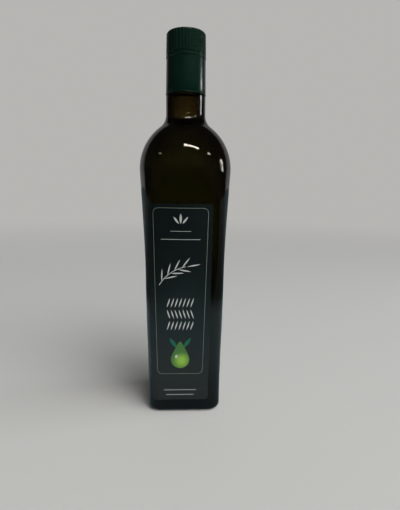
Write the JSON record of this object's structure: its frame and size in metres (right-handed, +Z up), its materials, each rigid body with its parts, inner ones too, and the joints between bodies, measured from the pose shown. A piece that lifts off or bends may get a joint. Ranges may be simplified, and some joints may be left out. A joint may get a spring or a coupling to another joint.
{
  "type": "olive oil bottle",
  "caption": "Tall bottle of dark glass, full of oil, square at its base and wider and rounder up to its shoulders, with a round neck, a green aluminium screw cap and a dark front label.",
  "frame": {"origin": "middle of the base, on the plane the bottle stands on", "axes": "+Z up along the bottle's axis; the labelled front looks along -Y; +X is to the right as seen from the front"},
  "size_m": [0.074, 0.074, 0.3014],
  "materials": {
    "glass": "polished dark green glass",
    "oil": "clear liquid",
    "cap": "satin lacquer",
    "label": "satin print"
  },
  "bodies": {
    "root": {"glass_bottle": "glass", "oil": "oil", "screw_cap": "cap", "front_label": "label"}
  },
  "joints": []
}
